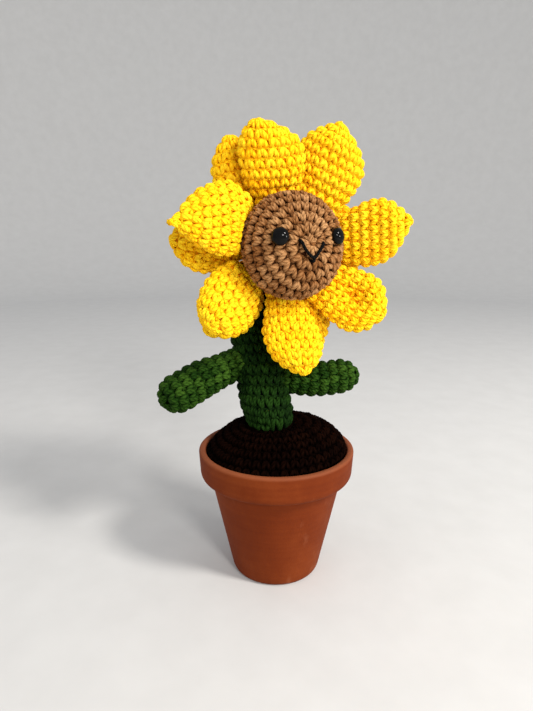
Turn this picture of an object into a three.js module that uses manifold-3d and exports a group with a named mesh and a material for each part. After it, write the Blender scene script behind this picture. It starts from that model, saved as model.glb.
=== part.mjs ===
// A crocheted sunflower toy with a smiling face, standing in a real clay pot.
// Millimetres, +Z up. The pot stands on z = 0 and the toy's front is towards -Y.

import * as THREE from "three";
import { mergeVertices } from "three/addons/utils/BufferGeometryUtils.js";
import Module from "manifold-3d";

// ---------------------------------------------------------------- driving dimensions

const gap = 0.35; // between pieces that touch
const potAxis = { x: -3.7, y: 0 }; // from the middle of the whole toy's footprint

const gauge = {
  round: 5.1, // height of one round of single crochet
  groove: 0.9, // how far the fabric dips between two rounds
  fabric: 2.6, // thickness of a crocheted cover
};

const clayPot = {
  height: 67,
  rimRadius: 39.8,
  lip: 3.4, // thickness of the rim at its top
  bandHeight: 14.6,
  bandTaper: 0.9, // how much narrower the band is at its lower edge
  footRadius: 20.6,
  wallRadiusAtBase: 22.5,
  wallSlope: 0.22, // growth of the wall's radius for each mm of height
  wall: 3.4,
  floor: 5,
  drainRadius: 5,
  segments: 48,
};

const soil = {
  domeHeight: 13.4, // above the pot's rim
  domeRadius: 36.4,
  fullness: 4.2, // exponent of the dome's outline: flat on top, steep at the edge
  tilt: 0.05, // the right side stands a little higher
  edgeRadius: 36,
  tuckTop: 64.5, // height at which the edge turns down inside the rim
  skirtBottom: 54.6,
  undersideRadii: [29, 22, 15, 8],
  fillingRadii: [28, 21, 14, 7],
  sides: 30,
};

// The stem leans left and back, then turns in behind the flower.
const stem = {
  seat: new THREE.Vector3(-3.2, 0, 79.3),
  route: [
    [-3.2, 0, 79.3],
    [-3.9, 1.2, 83.5],
    [-5.6, 5.6, 90],
    [-7.2, 10.6, 97],
    [-9.4, 16.6, 108],
    [-10.9, 21.2, 118],
    [-9.8, 25, 129],
    [-7.6, 26.6, 140],
    [-5.6, 25, 149],
    [-4.2, 21.6, 158],
    [-2.2, 16.6, 170.5],
  ],
  baseRadius: 11.6,
  radius: 13.1,
  topHalfDepth: 4.4, // squeezed flat where it is sewn to the back of the head
  topHalfWidth: 13.6,
  innerTop: 0.93, // how far up the hollow for the filling goes
  rounds: 18,
  sides: 15,
};

// Each leaf is a plump pouch sewn to the stem by its open end.
const leaves = {
  leaf_left: { root: [-19.5, 15, 107.4], tip: [-57.2, -9.4, 92.6], bow: 1.4, halfThickness: 9.6 },
  leaf_right: { root: [2.5, 14.5, 98.8], tip: [44.4, 17.6, 101], bow: -1.6, halfThickness: 8.8 },
};
const leafHalfWidth = 11.4;
const leafSides = 12;

// The flower's own frame: its origin is the middle of the head and its +Z is where the face looks.
const flower = {
  centre: new THREE.Vector3(7.4, -4.9, 168.4),
  yaw: THREE.MathUtils.degToRad(24), // turned towards +X
  tilt: THREE.MathUtils.degToRad(5), // looking slightly up
};

const head = {
  radius: 25.3,
  depth: 17.8, // half of the flattened ball's thickness
  closingRadius: 2.2, // the hole that the last round is drawn up to, at the back
  innerAngles: [0.45, 0.9, 1.35, 1.8, 2.25, 2.7], // rings of the inside faces, from the face's middle
  sides: 28,
};

const eye = {
  radius: 4,
  height: 3.1,
  shankRadius: 1.5,
  shankLength: 7.5,
  washerRadius: 5.4,
  washerThickness: 1.2,
  washerSlack: 1.4, // between the fabric and the washer
  places: { left: [-13.6, 3.1], right: [15.4, 3.2] }, // on the face, across and up
};

const mouth = {
  threadRadius: 0.65,
  leftEnd: [-5.3, 1.8],
  bend: [-2.7, -3.0],
  point: [1.3, -6.2],
  rightEnd: [7.0, 1.2],
  tail: [1.0, -7.9],
};

// Petals: where each one starts, which way it points and how it is bent, in the flower's frame.
// angle, counted anticlockwise from +X, is where the petal is sewn on; swing turns it aside from
// there, lean tips it towards the face, roll turns it about its own length and cup bends its tip
// forward, all in degrees. hook is how far the tip bends aside in the petal's own plane. tip is
// an exponent: small for a blunt tip, 1 for a pointed one, and shoulder is how far the widest
// place is from the tip.
const petalRounds = 9;
const petalSides = 14;
const petalHalfThickness = 6.8;
const pressedHalf = 3; // the least room between a petal's middle line and a neighbour's side
const plainPetal = {
  swing: 0,
  roll: 0,
  cup: 10,
  hook: 0,
  tip: 0.8,
  shoulder: 19,
  neck: 0.62,
  rootThickness: 3.2,
  start: 20.5,
  back: 14.6,
};
const leftHooked = { swing: 14, roll: -12, hook: 8, tip: 0.75, back: 13.8 };
const leaningPetal = { swing: 32, roll: -14, hook: 4, tip: 1, back: 16.4 };
const rightPetal = { roll: 4, hook: 4, tip: 1, start: 23, back: 15 };
const dentedPetal = { swing: 8, hook: -1.5, tip: 0.7, neck: 0.7, back: 15.4, dent: 5 };
const leftPetal = { swing: 40, hook: 1, tip: 1.2, shoulder: 29, start: 22, back: 6 };
const frontPetals = [
  { angle: 91, lean: 25, length: 41, halfWidth: 16.6, ...leftHooked },
  { angle: 39, lean: 22, length: 49, halfWidth: 18, ...leaningPetal },
  { angle: 7, lean: 36, length: 47, halfWidth: 16.4, ...rightPetal },
  { angle: 318.5, lean: 33, length: 44.5, halfWidth: 18.3, ...dentedPetal },
  { angle: 273, lean: 22, length: 45, halfWidth: 15.6, swing: -1, hook: 1.5, tip: 0.9 },
  { angle: 221, lean: 20, length: 37, halfWidth: 15.2, swing: -2, tip: 0.55, start: 21.5, neck: 0.82 },
  { angle: 143, lean: 12, length: 43, halfWidth: 16.4, ...leftPetal },
];
const backPetals = [
  { angle: 115, lean: 5, length: 43, halfWidth: 15.6 },
  { angle: 66, lean: 0, length: 34, halfWidth: 15 },
  { angle: 14, lean: 8, length: 40, halfWidth: 13 },
  { angle: 335, lean: 8, length: 39, halfWidth: 14, start: 16, back: 21.2 },
  { angle: 290, lean: 7, length: 42, halfWidth: 14.5, back: 18.8 },
  { angle: 227, lean: 1, length: 41, halfWidth: 16, neck: 0.95 },
  { angle: 175, lean: 1, length: 40, halfWidth: 15, neck: 1, start: 14 },
];
const plainBackPetal = { ...plainPetal, cup: 4, neck: 0.5, rootThickness: 4, start: 15, back: 21.6 };

// Petals that touch are pressed flat against each other.
const petalContacts = [
  ["petal_front_1", "petal_front_2"],
  ["petal_front_2", "petal_front_3"],
  ["petal_front_3", "petal_front_4"],
  ["petal_front_4", "petal_front_5"],
  ["petal_front_5", "petal_front_6"],
  ["petal_front_1", "petal_back_1"],
  ["petal_front_2", "petal_back_2"],
  ["petal_front_3", "petal_back_3"],
  ["petal_front_4", "petal_back_4"],
  ["petal_front_4", "petal_back_5"],
  ["petal_front_5", "petal_back_5"],
  ["petal_front_6", "petal_back_6"],
  ["petal_front_7", "petal_back_7"],
  ["petal_back_1", "petal_back_2"],
  ["petal_back_3", "petal_back_4"],
  ["petal_back_4", "petal_back_5"],
  ["petal_back_5", "petal_back_6"],
  ["petal_back_6", "petal_back_7"],
  ["petal_back_1", "petal_back_7"],
  ["petal_front_2", "petal_back_3"],
  ["petal_back_2", "petal_back_3"],
];

// ---------------------------------------------------------------- materials

const finishes = {
  clay: { color: 0xb0623a, roughness: 0.8, metalness: 0 },
  soilYarn: { color: 0x2a1610, roughness: 0.95, metalness: 0 },
  stemYarn: { color: 0x1e4a1d, roughness: 0.9, metalness: 0 },
  leafYarn: { color: 0x30642a, roughness: 0.9, metalness: 0 },
  headYarn: { color: 0x9a6b48, roughness: 0.9, metalness: 0 },
  petalYarn: { color: 0xf7c90f, roughness: 0.9, metalness: 0 },
  filling: { color: 0xf1efe8, roughness: 1, metalness: 0 },
  eyePlastic: { color: 0x050505, roughness: 0.12, metalness: 0 },
  washerPlastic: { color: 0xe9e9e4, roughness: 0.5, metalness: 0 },
  thread: { color: 0x0b0b0b, roughness: 0.7, metalness: 0 },
};

function piece(name, geometry, finish) {
  const mesh = new THREE.Mesh(geometry, new THREE.MeshStandardMaterial(finishes[finish]));
  mesh.name = name;
  return mesh;
}

// ---------------------------------------------------------------- solids by boolean cuts

const wasm = await Module();
wasm.setup();

function solidOf(geometry) {
  const bare = geometry.clone();
  bare.deleteAttribute("normal");
  bare.deleteAttribute("uv");
  const merged = mergeVertices(bare, 1e-4);
  const mesh = new wasm.Mesh({
    numProp: 3,
    vertProperties: new Float32Array(merged.attributes.position.array),
    triVerts: new Uint32Array(merged.index.array),
  });
  return new wasm.Manifold(mesh);
}

function geometryOf(solid) {
  const mesh = solid.getMesh();
  const geometry = new THREE.BufferGeometry();
  geometry.setAttribute("position", new THREE.BufferAttribute(mesh.vertProperties, 3));
  geometry.setIndex(new THREE.BufferAttribute(mesh.triVerts, 1));
  return geometry;
}

function cut(geometry, tools) {
  const left = tools.reduce((solid, tool) => solid.subtract(solidOf(tool)), solidOf(geometry));
  return geometryOf(left);
}

// ---------------------------------------------------------------- skins over rings

// Turns a closed geometry's faces outwards if its signed volume says they point in.
function facingOut(geometry) {
  const corner = new THREE.Vector3();
  const corners = [0, 1, 2].map(() => new THREE.Vector3());
  const index = geometry.index.array;
  let volume = 0;
  for (let i = 0; i < index.length; i += 3) {
    corners.forEach((c, k) => c.fromBufferAttribute(geometry.attributes.position, index[i + k]));
    volume += corners[0].dot(corner.crossVectors(corners[1], corners[2]));
  }
  if (volume < 0) index.reverse();
  return geometry;
}

// A closed skin over rings of points, all of one count. Every second ring may be turned by half
// a step, as the stitches of one round sit over the gaps of the round below. The two ends are
// closed at the points given, or in the middle of their rings; a loop of rings has no ends.
function skin(rings, { loop = false, staggered = false, firstPoint, lastPoint } = {}) {
  const count = rings[0].length;
  const points = rings.flat();
  const faces = [];
  const bands = loop ? rings.length : rings.length - 1;
  for (let i = 0; i < bands; i++) {
    const low = i * count;
    const high = ((i + 1) % rings.length) * count;
    for (let j = 0; j < count; j++) {
      const next = (j + 1) % count;
      if (staggered && i % 2 === 1) {
        faces.push(low + j, high + next, high + j, low + j, low + next, high + next);
      } else {
        faces.push(low + j, low + next, high + j, low + next, high + next, high + j);
      }
    }
  }
  if (!loop) {
    const top = (rings.length - 1) * count;
    const first = points.push(firstPoint ?? middleOf(rings[0])) - 1;
    const last = points.push(lastPoint ?? middleOf(rings.at(-1))) - 1;
    for (let j = 0; j < count; j++) {
      const next = (j + 1) % count;
      faces.push(first, next, j, last, top + j, top + next);
    }
  }
  const geometry = new THREE.BufferGeometry().setFromPoints(points);
  geometry.setIndex(faces);
  return facingOut(geometry);
}

function middleOf(ring) {
  return ring
    .reduce((sum, p) => sum.add(p), new THREE.Vector3())
    .divideScalar(ring.length);
}

// One elliptic ring of a pouch, round a point of its centreline. turn is in steps of a side.
function ellipse({ centre, across, over, halfAcross, halfOver, sides, turn = 0 }) {
  return Array.from({ length: sides }, (_, j) => {
    const angle = ((j + turn) / sides) * 2 * Math.PI;
    return centre
      .clone()
      .addScaledVector(across, halfAcross * Math.cos(angle))
      .addScaledVector(over, halfOver * Math.sin(angle));
  });
}

// The centreline's point at t with the two directions of the ring there. level, from 0 to 1,
// turns the ring towards lying flat, and stretch is how much longer that makes it front to back.
function station(curve, t, acrossWish, level = 0) {
  const along = curve.getTangentAt(t);
  const facing = along.clone().lerp(upwards, level).normalize();
  const across = acrossWish.clone().addScaledVector(facing, -facing.dot(acrossWish)).normalize();
  const over = new THREE.Vector3().crossVectors(facing, across);
  return { centre: curve.getPointAt(t), across, over, stretch: 1 / facing.dot(along) };
}

// ---------------------------------------------------------------- clay pot

const wallRadius = (z) => clayPot.wallRadiusAtBase + clayPot.wallSlope * z;
const bandBottom = clayPot.height - clayPot.bandHeight;
const rimInnerRadius = clayPot.rimRadius - clayPot.lip;
const ledgeRadius = 34; // inside the band, near its lower edge
const ledgeZ = bandBottom + 1.2;

// The inside of the band narrows from the lip to a ledge, just above the band's lower edge.
function bandInnerRadius(z) {
  const t = (z - ledgeZ) / (clayPot.height - ledgeZ);
  return THREE.MathUtils.lerp(ledgeRadius, rimInnerRadius, t);
}

function potGeometry() {
  const { height, rimRadius, footRadius, drainRadius, floor, wall, bandTaper, segments } = clayPot;
  const bandFoot = rimRadius - bandTaper;
  const round = 2.2; // radius of the foot's rounded edge
  const profile = [
    [drainRadius, 0],
    [footRadius, 0],
    [footRadius + 1.4, 0.6],
    [wallRadius(round), round],
    [wallRadius(bandBottom - 1.6), bandBottom - 1.6],
    [wallRadius(bandBottom) + 0.8, bandBottom - 0.5],
    [bandFoot - 2.2, bandBottom + 0.2],
    [bandFoot - 0.7, bandBottom + 1.3],
    [bandFoot, bandBottom + 3.4],
    [rimRadius, height - 2],
    [rimRadius - 0.35, height - 0.7],
    [rimRadius - 1.2, height],
    [rimInnerRadius + 0.5, height],
    [rimInnerRadius, height - 0.6],
    [ledgeRadius, ledgeZ],
    [wallRadius(ledgeZ - 2.6) - wall, ledgeZ - 2.6],
    [wallRadius(floor) - wall, floor],
    [drainRadius, floor],
    [drainRadius, 0],
  ];
  const points = profile.map(([r, z]) => new THREE.Vector2(r, z));
  return facingOut(indexed(new THREE.LatheGeometry(points, segments).rotateX(Math.PI / 2)));
}

// The same surface with shared corners, as closed bodies need.
function indexed(geometry) {
  geometry.deleteAttribute("normal");
  geometry.deleteAttribute("uv");
  return mergeVertices(geometry, 1e-4);
}

// ---------------------------------------------------------------- soil

// The dome over the pot's rim, pressed flat where the stem stands.
function soilHeight(x, y) {
  const { domeHeight, domeRadius, fullness, tilt } = soil;
  const r = Math.hypot(x, y);
  const dome = clayPot.height + domeHeight * (1 - (r / domeRadius) ** fullness) + tilt * x;
  const fromStem = Math.hypot(x - stem.seat.x, y - stem.seat.y);
  const free = THREE.MathUtils.smoothstep(fromStem, stem.radius + 0.6, stem.radius + 5);
  return THREE.MathUtils.lerp(stem.seat.z - gap, dome, free);
}

// A ring on the dome. It lies round the stem's seat near the top and round the pot at the edge.
function soilRing(radius, sink, turn) {
  const { sides, edgeRadius } = soil;
  const shift = 1 - radius / edgeRadius;
  return Array.from({ length: sides }, (_, j) => {
    const angle = ((j + turn) / sides) * 2 * Math.PI;
    const x = stem.seat.x * shift + radius * Math.cos(angle);
    const y = stem.seat.y * shift + radius * Math.sin(angle);
    return new THREE.Vector3(x, y, soilHeight(x, y) - sink);
  });
}

function levelRing(radius, z, sides, turn = 0) {
  return Array.from({ length: sides }, (_, j) => {
    const angle = ((j + turn) / sides) * 2 * Math.PI;
    return new THREE.Vector3(radius * Math.cos(angle), radius * Math.sin(angle), z);
  });
}

// The crocheted cover: the dome, its edge pushed down inside the rim, and its underside.
function soilCoverGeometry() {
  const { edgeRadius, tuckTop, skirtBottom, undersideRadii, sides } = soil;
  const seatRadius = stem.radius + 0.6;
  const steps = Math.floor((edgeRadius - 1) / (gauge.round / 2));
  const rings = [];
  for (let k = 1; k <= steps; k++) {
    const radius = (k * gauge.round) / 2;
    const dip = k % 2 === 0 && radius > seatRadius ? gauge.groove : 0;
    rings.push(soilRing(radius, dip, (k % 2) / 2));
  }
  const flip = rings.length % 2;
  const inside = (z) => bandInnerRadius(z) - gap;
  const tuckInside = tuckTop - 1.5;
  rings.push(levelRing(inside(tuckTop), tuckTop, sides, flip / 2));
  rings.push(levelRing(inside(skirtBottom), skirtBottom, sides, (1 - flip) / 2));
  rings.push(levelRing(inside(skirtBottom) - gauge.fabric, skirtBottom, sides, flip / 2));
  rings.push(levelRing(inside(tuckInside) - gauge.fabric, tuckInside, sides, (1 - flip) / 2));
  undersideRadii.forEach((radius, k) => {
    rings.push(soilRing(radius, gauge.fabric, ((flip + k) % 2) / 2));
  });
  return skin(rings, { staggered: true, firstPoint: stem.seat.clone().setZ(stem.seat.z - gap) });
}

// What fills the pot under the cover.
function soilFillingGeometry() {
  const { tuckTop, skirtBottom, fillingRadii, sides } = soil;
  const { floor, wall } = clayPot;
  const innerWall = (z) => wallRadius(z) - wall - gap;
  const insideSkirt = (z) => bandInnerRadius(z) - gauge.fabric - 3 * gap;
  const bottom = floor + gap;
  const top = tuckTop - 2.5;
  const rings = [
    levelRing(innerWall(bottom), bottom, sides),
    levelRing(innerWall(ledgeZ - 3), ledgeZ - 3, sides),
    levelRing(insideSkirt(skirtBottom), skirtBottom, sides),
    levelRing(insideSkirt(top), top, sides),
  ];
  for (const radius of fillingRadii) {
    rings.push(soilRing(radius, gauge.fabric + gauge.groove + gap, 0));
  }
  return skin(rings);
}

// ---------------------------------------------------------------- stem

const stemCurve = new THREE.CatmullRomCurve3(stem.route.map((p) => new THREE.Vector3(...p)));
const sideways = new THREE.Vector3(1, 0, 0);
const upwards = new THREE.Vector3(0, 0, 1);

// The stem's section at t, from its foot (0) to its sewn top (1), inset for covers and filling.
function stemRing(t, inset, turn) {
  const { baseRadius, radius, topHalfDepth, topHalfWidth, sides } = stem;
  const swell = THREE.MathUtils.smoothstep(t, 0, 0.1);
  const squeeze = THREE.MathUtils.smoothstep(t, 0.56, 1);
  const full = THREE.MathUtils.lerp(baseRadius, radius, swell);
  const place = station(stemCurve, t, sideways, 1 - THREE.MathUtils.smoothstep(t, 0, 0.5));
  return ellipse({
    ...place,
    halfAcross: THREE.MathUtils.lerp(full, topHalfWidth, squeeze ** 2) - inset,
    halfOver: (THREE.MathUtils.lerp(full, topHalfDepth, squeeze) - inset) * place.stretch,
    sides,
    turn,
  });
}

// A crocheted tube, open at the soil and sewn shut where it meets the head.
function stemCoverGeometry() {
  const outer = [];
  const last = 2 * stem.rounds;
  for (let k = last; k >= 0; k--) {
    const dip = k % 2 === 0 && k > 0 ? gauge.groove : 0;
    outer.push(stemRing(k / last, dip, (k % 2) / 2));
  }
  const innerSteps = 9;
  const inner = [];
  for (let k = 0; k <= innerSteps; k++) {
    const t = THREE.MathUtils.lerp(0, stem.innerTop, k / innerSteps);
    inner.push(stemRing(t, gauge.fabric, ((k + 1) % 2) / 2));
  }
  const firstPoint = stemCurve.getPointAt(1);
  return skin([...outer, ...inner], { staggered: true, firstPoint });
}

function stemFillingGeometry() {
  const rings = [];
  const steps = 9;
  for (let k = 0; k <= steps; k++) {
    const t = THREE.MathUtils.lerp(0.01, stem.innerTop - 0.02, k / steps);
    rings.push(stemRing(t, gauge.fabric + 2.5 * gap, ((k + 1) % 2) / 2));
  }
  return skin(rings);
}

// The stem's solid outline and a gap round it, for what is sewn on to it.
function stemMould() {
  const steps = 24;
  const rings = [];
  for (let k = 0; k <= steps; k++) rings.push(stemRing(k / steps, -1.5 * gap, 0));
  return skin(rings);
}

// ---------------------------------------------------------------- pouches: leaves and petals

// A pouch crocheted round and round from its tip, flattened and sewn on by its open end.
// The shape gives half widths at a distance from the tip; dent pushes the front face in.
function pouchGeometry({ curve, across, rounds, sides, halfAcross, halfOver, dent = 0 }) {
  const length = curve.getLength();
  const rings = [];
  for (let k = 0; k < 2 * rounds; k++) {
    const t = k / (2 * rounds);
    const fromTip = (1 - t) * length;
    const dip = k % 2 === 0 && k > 0 ? gauge.groove : 0;
    const ring = ellipse({
      ...station(curve, t, across),
      halfAcross: halfAcross(fromTip) - dip,
      halfOver: halfOver(fromTip) - dip,
      sides,
      turn: (k % 2) / 2,
    });
    if (dent > 0) pressFront(ring, station(curve, t, across), dent, Math.abs(t - 0.58));
    rings.push(ring);
  }
  return skin(rings, { staggered: true, lastPoint: curve.getPointAt(1) });
}

// Presses the middle of a ring's front face in, most at the middle of the pouch's length.
function pressFront(ring, { centre, across, over }, depth, fromMiddle) {
  for (const point of ring) {
    const offset = point.clone().sub(centre);
    if (offset.dot(over) <= 0) continue;
    const spread = (offset.dot(across) / 6) ** 2 + (fromMiddle / 0.18) ** 2;
    point.addScaledVector(over, -depth * Math.exp(-spread));
  }
}

function leafGeometry({ root, tip, bow, halfThickness }) {
  const start = new THREE.Vector3(...root);
  const end = new THREE.Vector3(...tip);
  const bend = start.clone().lerp(end, 0.45);
  bend.z += bow;
  const curve = new THREE.CatmullRomCurve3([start, bend, end]);
  const across = new THREE.Vector3().subVectors(end, start).cross(upwards).normalize();
  const size = (d) => {
    const roundTip = Math.sqrt(1 - (1 - Math.min(d / 11, 1)) ** 2);
    return roundTip * THREE.MathUtils.lerp(1, 0.84, THREE.MathUtils.smoothstep(d, 22, 42));
  };
  const pouch = pouchGeometry({
    curve,
    across,
    rounds: 8,
    sides: leafSides,
    halfAcross: (d) => leafHalfWidth * size(d),
    halfOver: (d) => halfThickness * size(d),
  });
  return cut(pouch, [stemMould()]);
}

// An arc in the XZ plane that starts at the origin, ends at +X and bends towards +Z.
class CuppedLine extends THREE.Curve {
  constructor(length, cup) {
    super();
    this.radius = length / cup;
    this.cup = cup;
  }
  getPoint(t, target = new THREE.Vector3()) {
    const angle = this.cup * (t - 0.5);
    const half = this.cup / 2;
    const x = this.radius * (Math.sin(angle) + Math.sin(half));
    const z = this.radius * (Math.cos(half) - Math.cos(angle));
    return target.set(x, 0, z);
  }
}

function petalGeometry(setting) {
  const { length, halfWidth, cup, hook, tip, shoulder, neck, rootThickness, dent } = setting;
  const widening = (d) => (1 - (1 - Math.min(d / shoulder, 1)) ** 2) ** tip;
  const narrowing = (d) => THREE.MathUtils.smoothstep(d, shoulder + 3, length + 2);
  const necking = (d) => THREE.MathUtils.lerp(1, neck, narrowing(d));
  const thinning = (d) => THREE.MathUtils.smoothstep(d, shoulder + 4, length);
  const thickness = (d) => THREE.MathUtils.lerp(petalHalfThickness, rootThickness, thinning(d));
  const geometry = pouchGeometry({
    curve: new CuppedLine(length, THREE.MathUtils.degToRad(cup)),
    across: new THREE.Vector3(0, 1, 0),
    rounds: petalRounds,
    sides: petalSides,
    halfAcross: (d) => halfWidth * widening(d) * necking(d),
    halfOver: (d) => thickness(d) * Math.min(1, widening(d) * 1.35),
    dent,
  });
  movePoints(geometry, (point) => {
    const outwards = Math.max(point.x / length - 0.35, 0) / 0.65;
    point.y += hook * outwards ** 2;
  });
  return geometry;
}

// A petal in the flower's frame, with the middle of its belly and its own three directions.
function petal(setting) {
  const { angle, swing, lean, roll, start, back, length } = setting;
  const sewnAt = THREE.MathUtils.degToRad(angle);
  const [x, y, z] = [roll, -lean, angle + swing].map(THREE.MathUtils.degToRad);
  const pose = new THREE.Matrix4().makeRotationFromEuler(new THREE.Euler(x, y, z, "ZYX"));
  pose.setPosition(start * Math.cos(sewnAt), start * Math.sin(sewnAt), -back);
  const belly = new THREE.Vector3(length * 0.55, 0, 0).applyMatrix4(pose);
  const axes = [0, 1, 2].map((k) => new THREE.Vector3().setFromMatrixColumn(pose, k));
  const geometry = petalGeometry(setting).applyMatrix4(pose);
  return { geometry, rings: petalRings(geometry), belly, axes, setting };
}

// The places in a petal's points that make up each ring, with the ring's middle. The two end
// points, last in the list, go with the first and the last ring.
function petalRings(geometry) {
  const position = geometry.attributes.position;
  const count = (position.count - 2) / petalSides;
  return Array.from({ length: count }, (_, k) => {
    const members = Array.from({ length: petalSides }, (_, j) => k * petalSides + j);
    const points = members.map((i) => new THREE.Vector3().fromBufferAttribute(position, i));
    if (k === 0) members.push(position.count - 2);
    if (k === count - 1) members.push(position.count - 1);
    return { middle: middleOf(points), members };
  });
}

// Holds a value under a limit, which it nears in a smooth bend and never quite reaches.
function keptBelow(value, limit, bend) {
  return limit - bend * Math.log1p(Math.exp((limit - value) / bend));
}

// Presses two petals flat against the plane between them, each staying on its own side.
function pressTogether(one, other) {
  const apart = new THREE.Vector3().subVectors(other.belly, one.belly);
  const reach = [one.setting.length / 2, one.setting.halfWidth, petalHalfThickness];
  const normal = new THREE.Vector3();
  one.axes.forEach((axis, k) => normal.addScaledVector(axis, axis.dot(apart) / reach[k] ** 2));
  normal.normalize();
  const between = one.belly.clone().lerp(other.belly, 0.5);
  keepBehind(one, between, normal);
  keepBehind(other, between, normal.negate());
}

// Draws a petal in towards its middle line, ring by ring, until it stays behind a plane.
function keepBehind({ geometry, rings }, origin, normal) {
  const position = geometry.attributes.position;
  const point = new THREE.Vector3();
  for (const { middle, members } of rings) {
    const height = middle.clone().sub(origin).dot(normal);
    const sunk = keptBelow(height, -pressedHalf, 1);
    const room = -sunk - gap / 2;
    for (const i of members) {
      const fromMiddle = point.fromBufferAttribute(position, i).sub(middle);
      const out = Math.max(fromMiddle.dot(normal) / room, 0);
      fromMiddle.divideScalar((1 + out ** 6) ** (1 / 6));
      position.setXYZ(i, ...fromMiddle.add(middle).addScaledVector(normal, sunk - height));
    }
    middle.addScaledVector(normal, sunk - height);
  }
}

// Presses a petal's points off the ball of the head.
function keepOffHead(geometry) {
  const slack = 1.04;
  const unit = new THREE.Vector3(head.radius, head.radius, head.depth);
  movePoints(geometry, (point) => {
    const reach = point.clone().divide(unit).length();
    point.multiplyScalar(-keptBelow(-reach, -slack, 0.04) / reach);
  });
}

function movePoints(geometry, move) {
  const position = geometry.attributes.position;
  const point = new THREE.Vector3();
  for (let i = 0; i < position.count; i++) {
    move(point.fromBufferAttribute(position, i));
    position.setXYZ(i, ...point);
  }
}

// ---------------------------------------------------------------- head

// Angles from the pole that divide an ellipse's meridian into steps of about the given length.
function meridianAngles(radius, depth, step, endAngle) {
  const fine = 0.002;
  const lengths = [0];
  for (let angle = fine; angle <= endAngle; angle += fine) {
    const rate = Math.hypot(radius * Math.cos(angle), depth * Math.sin(angle));
    lengths.push(lengths.at(-1) + rate * fine);
  }
  const steps = Math.round(lengths.at(-1) / step);
  const angles = [];
  for (let k = 1; k <= steps; k++) {
    const wanted = (lengths.at(-1) * k) / steps;
    angles.push(lengths.findIndex((l) => l >= wanted - 1e-9) * fine);
  }
  return angles;
}

function headRing(inset, angle, turn) {
  return ellipse({
    centre: new THREE.Vector3(0, 0, (head.depth - inset) * Math.cos(angle)),
    across: new THREE.Vector3(1, 0, 0),
    over: new THREE.Vector3(0, 1, 0),
    halfAcross: (head.radius - inset) * Math.sin(angle),
    halfOver: (head.radius - inset) * Math.sin(angle),
    sides: head.sides,
    turn,
  });
}

// The ball's cover, with the small hole of its last round left open at the back.
function headCoverGeometry() {
  const { radius, depth, closingRadius, innerAngles } = head;
  const closing = Math.PI - Math.asin(closingRadius / radius);
  const outer = meridianAngles(radius, depth, gauge.round / 2, closing).map((angle, k) =>
    headRing(k % 2 === 1 ? gauge.groove : 0, angle, (k % 2) / 2),
  );
  const inner = [closing, ...innerAngles.toReversed()].map((angle, k) =>
    headRing(gauge.fabric, angle, ((outer.length + k) % 2) / 2),
  );
  return skin([...outer, ...inner], {
    staggered: true,
    firstPoint: new THREE.Vector3(0, 0, depth),
    lastPoint: new THREE.Vector3(0, 0, depth - gauge.fabric),
  });
}

function headFillingGeometry() {
  const inset = gauge.fabric + 3 * gap;
  const rings = head.innerAngles.map((angle) => headRing(inset, angle, 0));
  return skin(rings, {
    firstPoint: new THREE.Vector3(0, 0, head.depth - inset),
    lastPoint: new THREE.Vector3(0, 0, inset - head.depth),
  });
}

// A point of the head's surface, across and up the face, raised along the surface's normal.
function onFace([x, y], raised = 0) {
  const { radius, depth } = head;
  const z = depth * Math.sqrt(1 - (x * x + y * y) / radius ** 2);
  const normal = new THREE.Vector3(x / radius ** 2, y / radius ** 2, z / depth ** 2).normalize();
  return { point: new THREE.Vector3(x, y, z).addScaledVector(normal, raised), normal };
}

function place(mesh, { point, normal }) {
  mesh.position.copy(point);
  mesh.quaternion.setFromUnitVectors(new THREE.Vector3(0, 0, 1), normal);
  mesh.updateMatrix();
  return mesh;
}

function lathe(profile, segments) {
  const points = profile.map(([r, z]) => new THREE.Vector2(r, z));
  return facingOut(indexed(new THREE.LatheGeometry(points, segments).rotateX(Math.PI / 2)));
}

// A safety eye: a glossy dome with a shank that goes through the fabric.
function eyeGeometry() {
  const { radius, height, shankRadius, shankLength } = eye;
  const domeSteps = 5;
  const dome = Array.from({ length: domeSteps }, (_, k) => {
    const angle = (k / domeSteps) * (Math.PI / 2);
    return [radius * Math.cos(angle), 0.5 + (height - 0.5) * Math.sin(angle)];
  });
  return lathe(
    [
      [0, -shankLength],
      [shankRadius, -shankLength],
      [shankRadius, 0],
      [radius - 0.4, 0],
      ...dome,
      [0, height],
    ],
    18,
  );
}

function washerGeometry() {
  const { washerRadius, washerThickness, shankRadius } = eye;
  const hole = shankRadius + gap;
  return lathe(
    [
      [hole, 0],
      [washerRadius, 0],
      [washerRadius, -washerThickness],
      [hole, -washerThickness],
      [hole, 0],
    ],
    16,
  );
}

function boss(radius, top, bottom) {
  const geometry = new THREE.CylinderGeometry(radius, radius, top - bottom, 16);
  return geometry.rotateX(Math.PI / 2).translate(0, 0, (top + bottom) / 2);
}

// The smile: black thread in a V with a short tail, lying on the face.
function mouthGeometry() {
  const { threadRadius, leftEnd, bend, point, rightEnd, tail } = mouth;
  const raised = threadRadius + gap;
  const section = new THREE.Shape().absarc(0, 0, threadRadius, 0, 2 * Math.PI);
  const strand = (...stops) => {
    const path = new THREE.CatmullRomCurve3(stops.map((stop) => onFace(stop, raised).point));
    return new THREE.ExtrudeGeometry(section, {
      steps: 4,
      curveSegments: 3,
      extrudePath: path,
      bevelEnabled: false,
    });
  };
  const strands = [strand(leftEnd, bend, point), strand(point, rightEnd), strand(point, tail)];
  const knot = onFace(point, raised).point;
  const ball = new THREE.SphereGeometry(threadRadius * 1.15, 6, 5).translate(...knot);
  return geometryOf(strands.map(solidOf).reduce((sum, solid) => sum.add(solid), solidOf(ball)));
}

// ---------------------------------------------------------------- assembly

const sunflower = new THREE.Group();
const standing = new THREE.Group();
standing.position.set(potAxis.x, potAxis.y, 0);
sunflower.add(standing);

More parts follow.
